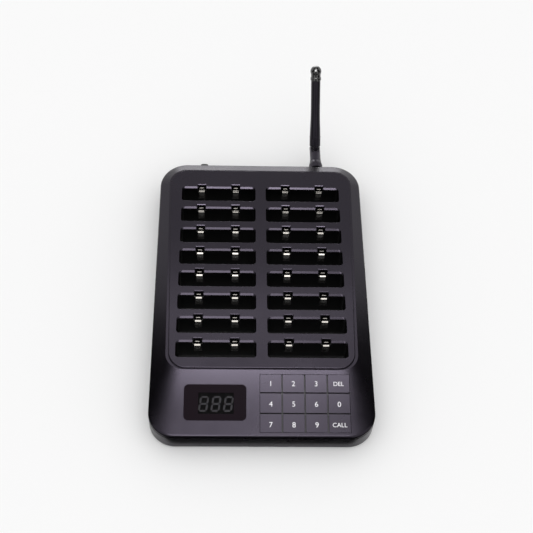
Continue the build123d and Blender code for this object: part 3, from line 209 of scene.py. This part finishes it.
CARD_X = 0.5
CARD_BEHIND_Y = -1.8
CORNER_CARD_X = 0.112
SIDES = ((-1, "left"), (1, "right"))
for side, name in SIDES:
    standing_card("card_high_" + name, side * CARD_X, (-0.15, 0.9), (0.6, 1.9), "#060606")
    standing_card("card_low_" + name, side * CARD_X, (-0.2, 0.22), (0.0, 0.6), "#060606")
lying_card("card_front", (-0.3, 0.3), (-0.6, -0.152), 0.001, "#0a0a0a")
for side, name in SIDES:
    lying_card("card_corner_" + name, (side * CORNER_CARD_X, side * CARD_X), (-0.5, 0.06), 0.002, "#030303")
reflection_card("card_camera", [
    (-CARD_X, CARD_BEHIND_Y, 0.0), (CARD_X, CARD_BEHIND_Y, 0.0),
    (CARD_X, CARD_BEHIND_Y, 1.0), (-CARD_X, CARD_BEHIND_Y, 1.0)], "#040404")

# %% [markdown]
# ## Floor
# The base stands on a white sheet with no visible edge. The sheet is a large disc with a plain
# diffuse surface. Its own colour makes the white background, and it keeps the soft contact shadow
# under the case.

# %% Floor
FLOOR_RADIUS = 60.0
floor_mesh = bpy.data.meshes.new("floor")
form = bmesh.new()
bmesh.ops.create_circle(form, cap_ends=True, segments=96, radius=FLOOR_RADIUS)
form.to_mesh(floor_mesh)
form.free()
floor = bpy.data.objects.new("floor", floor_mesh)
bpy.context.scene.collection.objects.link(floor)
paper, tree, output = new_material("white_paper_sweep")
body = add(tree, "ShaderNodeBsdfDiffuse", inputs={"Color": linear("#fafafa")})
tree.links.new(body.outputs[0], output.inputs["Surface"])
floor_mesh.materials.append(paper)
print("floor radius", FLOOR_RADIUS, "m")

# %% [markdown]
# ## Charcoal ABS
# The case is injection moulded ABS. Its mould was spark eroded, which leaves an even, fine grain of
# about 0.2 mm that turns sharp reflections into a soft sheen. The pigment is nearly black with a
# slight violet cast. A fine noise drives the bump, and a broad faint one shifts the roughness as
# handling does. The pattern uses Object coordinates, which are metres here.

# %% Charcoal ABS
def moulded_plastic(name, colour, roughness, grain_mm, grain_depth_mm, edge_mm=0.0,
                    mottling=0.03, cast=(1, 1, 1, 1), level=0.5, sheen=0.0):
    """Moulded plastic with a spark-eroded grain, a little handling shine and softened edges."""
    material, tree, output = new_material(name)
    place = add(tree, "ShaderNodeTexCoord")
    grain = add(tree, "ShaderNodeTexNoise", inputs={
        "Vector": place.outputs["Object"], "Scale": 1000 / (grain_mm * 2), "Detail": 3.0, "Roughness": 0.6})
    handling = add(tree, "ShaderNodeTexNoise", inputs={
        "Vector": place.outputs["Object"], "Scale": 22.0, "Detail": 4.0, "Roughness": 0.55})
    shine = add(tree, "ShaderNodeMapRange", inputs={
        "Value": handling.outputs["Fac"], "From Min": 0.3, "From Max": 0.7,
        "To Min": roughness - mottling, "To Max": roughness + mottling})
    bump = add(tree, "ShaderNodeBump", inputs={
        "Strength": 0.6, "Distance": grain_depth_mm / 1000, "Height": grain.outputs["Fac"]})
    if edge_mm:
        edge = add(tree, "ShaderNodeBevel", {"samples": 6}, {"Radius": edge_mm / 1000})
        tree.links.new(edge.outputs[0], bump.inputs["Normal"])
    base = linear(colour)
    tint = add(tree, "ShaderNodeMapRange", {"data_type": "FLOAT"}, {
        "Value": grain.outputs["Fac"], "From Min": 0.2, "From Max": 0.8, "To Min": 0.85, "To Max": 1.15})
    shade = add(tree, "ShaderNodeVectorMath", {"operation": "SCALE"}, {0: base[:3], "Scale": tint.outputs[0]})
    shader = add(tree, "ShaderNodeBsdfPrincipled", inputs={
        "Base Color": shade.outputs[0], "Roughness": shine.outputs[0], "IOR": 1.5, "Specular Tint": cast,
        "Specular IOR Level": level, "Sheen Weight": sheen, "Sheen Roughness": 0.35,
        "Normal": bump.outputs[0]})
    tree.links.new(shader.outputs[0], output.inputs["Surface"])
    return material


VIOLET = linear("#f0e3ff")
charcoal_abs = moulded_plastic("charcoal_abs", "#060507", 0.26, 0.25, 0.006, edge_mm=0.12, mottling=0.04,
                              cast=VIOLET, level=0.37)
key_abs = moulded_plastic("key_abs", "#070608", 0.28, 0.2, 0.005, edge_mm=0.08, cast=VIOLET, level=0.36)
black_tray_abs = moulded_plastic("black_tray_abs", "#030304", 0.32, 0.3, 0.006, edge_mm=0.1, level=0.3)
button_abs = moulded_plastic("button_abs", "#070608", 0.35, 0.2, 0.005)
inner_abs = moulded_plastic("inner_abs", "#0c0c0d", 0.45, 0.3, 0.01)
for name in ("top_cover", "bottom_case"):
    wear(name, charcoal_abs)
for name in nodes:
    if name.startswith("key_") and name not in ("key_frame", "key_switches"):
        wear(name, key_abs)
for name in ("pocket_tray_left", "pocket_tray_right"):
    wear(name, black_tray_abs)
wear("power_button", button_abs)
for name in ("contact_holders", "key_frame", "key_switches", "power_switch", "dc_jack"):
    wear(name, inner_abs)
print("plastics:", [m.name for m in bpy.data.materials if m.name.endswith("_abs")])

# %% [markdown]
# ## Metal
# The spring contacts are stamped from bronze strip and nickel plated, with fine drawing marks along
# the strip. Their colour is painted darker than nickel's, as painted shade, so that only the nose
# catches a bright line, as in the photograph. The jack, its nut and the pin are plated too, and the
# screws are zinc plated steel.
# One function makes them, with a stretched noise for the drawing marks.

# %% Plated metals
def plated_metal(name, colour, roughness, mark_mm):
    """Plated metal with fine marks that run along Z."""
    material, tree, output = new_material(name)
    place = add(tree, "ShaderNodeTexCoord")
    stretch = add(tree, "ShaderNodeMapping", inputs={
        "Vector": place.outputs["Object"], "Scale": (1000 / mark_mm, 1000 / mark_mm, 60.0)})
    marks = add(tree, "ShaderNodeTexNoise", inputs={"Vector": stretch.outputs[0], "Scale": 1.0, "Detail": 2.0})
    shine = add(tree, "ShaderNodeMapRange", inputs={
        "Value": marks.outputs["Fac"], "To Min": roughness - 0.06, "To Max": roughness + 0.08})
    bump = add(tree, "ShaderNodeBump", inputs={
        "Strength": 0.3, "Distance": 0.00001, "Height": marks.outputs["Fac"]})
    shader = add(tree, "ShaderNodeBsdfPrincipled", inputs={
        "Base Color": linear(colour), "Metallic": 1.0, "Roughness": shine.outputs[0], "Normal": bump.outputs[0]})
    tree.links.new(shader.outputs[0], output.inputs["Surface"])
    return material


# Painted shade: the contacts' nickel is given a darker colour so that only the nose catches a bright line.
nickel_strip_painted_shade = plated_metal("nickel_strip_painted_shade", "#504e4b", 0.16, 0.3)
nickel_turned = plated_metal("nickel_turned", "#c9c6c0", 0.25, 0.2)
zinc_steel = plated_metal("zinc_steel", "#b9bcc0", 0.32, 0.2)
tin_plate = plated_metal("tin_plate", "#c4c6c8", 0.3, 0.4)
for name in nodes:
    if name.startswith("contacts_"):
        wear(name, nickel_strip_painted_shade)
for name in ("antenna_connector", "connector_nut", "pivot_pin"):
    wear(name, nickel_turned)
for name in ("board_screws", "main_board_screws", "case_screws"):
    wear(name, zinc_steel)
wear("radio_module", tin_plate)
print("metals:", nickel_strip_painted_shade.name, nickel_turned.name, zinc_steel.name, tin_plate.name)

# %% [markdown]
# ## Rubber and antenna
# The antenna's rod is a spring coil moulded into a thermoplastic elastomer, satin black with a faint
# sheen where light grazes it. Its tip is a glossier moulding, which holds the small bright highlight
# of the photograph. The feet are die-cut rubber with a duller skin.

# %% Elastomers and small inner parts
antenna_tpe = moulded_plastic("antenna_tpe", "#0a090c", 0.3, 0.35, 0.008,
                              cast=VIOLET, level=0.3, sheen=0.3)
antenna_abs = moulded_plastic("antenna_abs", "#111013", 0.3, 0.25, 0.006, cast=VIOLET)
cap_abs = moulded_plastic("cap_abs", "#0c0b0e", 0.17, 0.25, 0.002, mottling=0.02, level=1.0)
foot_rubber = moulded_plastic("foot_rubber", "#131313", 0.7, 0.6, 0.03)
lead_pvc = moulded_plastic("lead_pvc", "#151515", 0.4, 0.4, 0.01)
ribbon_pvc = moulded_plastic("ribbon_pvc", "#8b8b88", 0.45, 0.8, 0.02)
solder_mask = moulded_plastic("solder_mask", "#0f4a2c", 0.25, 1.2, 0.01)
wear("antenna_whip", antenna_tpe)
wear("antenna_cap", cap_abs)
for name in ("antenna_nut", "antenna_base"):
    wear(name, antenna_abs)
wear("rubber_feet", foot_rubber)
wear("antenna_lead", lead_pvc)
wear("panel_ribbon", ribbon_pvc)
for name in ("front_board", "main_board", "charge_boards"):
    wear(name, solder_mask)
print("soft and inner finishes set")

# %% [markdown]
# ## Display
# The window is smoked acrylic, printed dark violet on its back around the digits, so only the clear
# part lets light through. Behind it sits a black module with three digits whose unlit bars are a
# milky grey. Light passes the tint twice, so the bars stay readable and the rest goes dark.

# %% Smoked window and digits
CLEAR_HALF_WIDTH = 0.0155
CLEAR_HALF_LENGTH = 0.0094
CLEAR_SHIFT = 0.0008
smoked_acrylic, tree, output = new_material("smoked_acrylic")
tint = add(tree, "ShaderNodeBsdfTransparent", inputs={"Color": linear("#c6c5c7")})
print_coat = add(tree, "ShaderNodeBsdfPrincipled", inputs={
    "Base Color": linear("#150a13"), "Roughness": 0.45, "IOR": 1.49, "Specular IOR Level": 0.025})
gloss = add(tree, "ShaderNodeBsdfGlossy", inputs={"Color": (1, 1, 1, 1), "Roughness": 0.45})
clear = add(tree, "ShaderNodeMixShader", inputs={0: 0.001, 1: tint.outputs[0], 2: gloss.outputs[0]})
place = add(tree, "ShaderNodeTexCoord")
parts = add(tree, "ShaderNodeSeparateXYZ", inputs={0: place.outputs["Object"]})
face_low, face_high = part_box("digit_display")
middle_x = (face_low.x + face_high.x) / 2
middle_y = (face_low.y + face_high.y) / 2 - CLEAR_SHIFT
from_x = add(tree, "ShaderNodeMath", {"operation": "SUBTRACT"}, {0: parts.outputs["X"], 1: middle_x})
off_x = add(tree, "ShaderNodeMath", {"operation": "ABSOLUTE"}, {0: from_x.outputs[0]})
in_x = add(tree, "ShaderNodeMath", {"operation": "LESS_THAN"}, {0: off_x.outputs[0], 1: CLEAR_HALF_WIDTH})
from_y = add(tree, "ShaderNodeMath", {"operation": "SUBTRACT"}, {0: parts.outputs["Y"], 1: middle_y})
off_y = add(tree, "ShaderNodeMath", {"operation": "ABSOLUTE"}, {0: from_y.outputs[0]})
in_y = add(tree, "ShaderNodeMath", {"operation": "LESS_THAN"}, {0: off_y.outputs[0], 1: CLEAR_HALF_LENGTH})
inside = add(tree, "ShaderNodeMath", {"operation": "MULTIPLY"}, {0: in_x.outputs[0], 1: in_y.outputs[0]})
surface = add(tree, "ShaderNodeMixShader", inputs={
    0: inside.outputs[0], 1: print_coat.outputs[0], 2: clear.outputs[0]})
tree.links.new(surface.outputs[0], output.inputs["Surface"])
wear("display_window", smoked_acrylic)

display_epoxy = moulded_plastic("display_epoxy", "#040405", 0.5, 0.4, 0.004, level=0.05)
milky_epoxy = moulded_plastic("milky_epoxy", "#b4b4b5", 0.5, 0.4, 0.004, level=0.1)
wear("digit_display", display_epoxy)
wear("digit_segments", milky_epoxy)
print("window clear area", round(CLEAR_HALF_WIDTH * 2000, 1), "mm wide")

# %% [markdown]
# ## Key legends
# The legends are pad printed: a thin, even layer of white ink on each cap. Each one is typed as
# text, turned into a mesh, laid on the cap's sloping top and lifted by the ink's thickness. It
# rides on its own key, so it moves when the key is pressed.

# %% Key legends
PANEL_TILT = math.atan2(10.6, 60.2)
PANEL_FRONT = Vector((0, -0.1485, 0.0216))
INK = 0.00004
LEGEND_SHIFT = 0.0008
CAP_TOP = 0.0002
KEY_PITCH = (0.020, 0.0186)
KEYPAD_CENTRE = (0.0375, 0.0306)
panel_turn = Matrix.Translation(PANEL_FRONT) @ Matrix.Rotation(PANEL_TILT, 4, "X")

white_ink = moulded_plastic("white_ink", "#f2f1f4", 0.5, 0.3, 0.003)


def legend(text, key, column, row, size):
    """A printed legend on one key."""
    curve = bpy.data.curves.new("legend_" + key, "FONT")
    curve.body = text
    curve.size = size
    curve.align_x = "CENTER"
    curve.align_y = "CENTER"
    curve.extrude = INK / 2
    typed = bpy.data.objects.new("typed", curve)
    mesh = bpy.data.meshes.new_from_object(typed)
    bpy.data.objects.remove(typed)
    bpy.data.curves.remove(curve)
    x = KEYPAD_CENTRE[0] + (column - 1.5) * KEY_PITCH[0]
    y = KEYPAD_CENTRE[1] + (row - 1) * KEY_PITCH[1] - LEGEND_SHIFT
    xs = [v.co.x for v in mesh.vertices]
    ys = [v.co.y for v in mesh.vertices]
    centre = Matrix.Translation((-(min(xs) + max(xs)) / 2, -(min(ys) + max(ys)) / 2, 0))
    mesh.transform(panel_turn @ Matrix.Translation((x, y, CAP_TOP + INK / 2)) @ centre)
    mesh.name = "legend_" + key
    piece = bpy.data.objects.new("legend_" + key, mesh)
    bpy.context.scene.collection.objects.link(piece)
    mesh.materials.clear()
    mesh.materials.append(white_ink)
    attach(piece, key)


DIGIT_SIZE = 0.0067
WORD_SIZE = 0.0055
layout = [["7", "8", "9", "call"], ["4", "5", "6", "0"], ["1", "2", "3", "del"]]
for row, line in enumerate(layout):
    for column, name in enumerate(line):
        size = WORD_SIZE if len(name) > 1 else DIGIT_SIZE
        legend(name.upper(), "key_" + name, column, row, size)
print("legends:", sum(len(line) for line in layout))
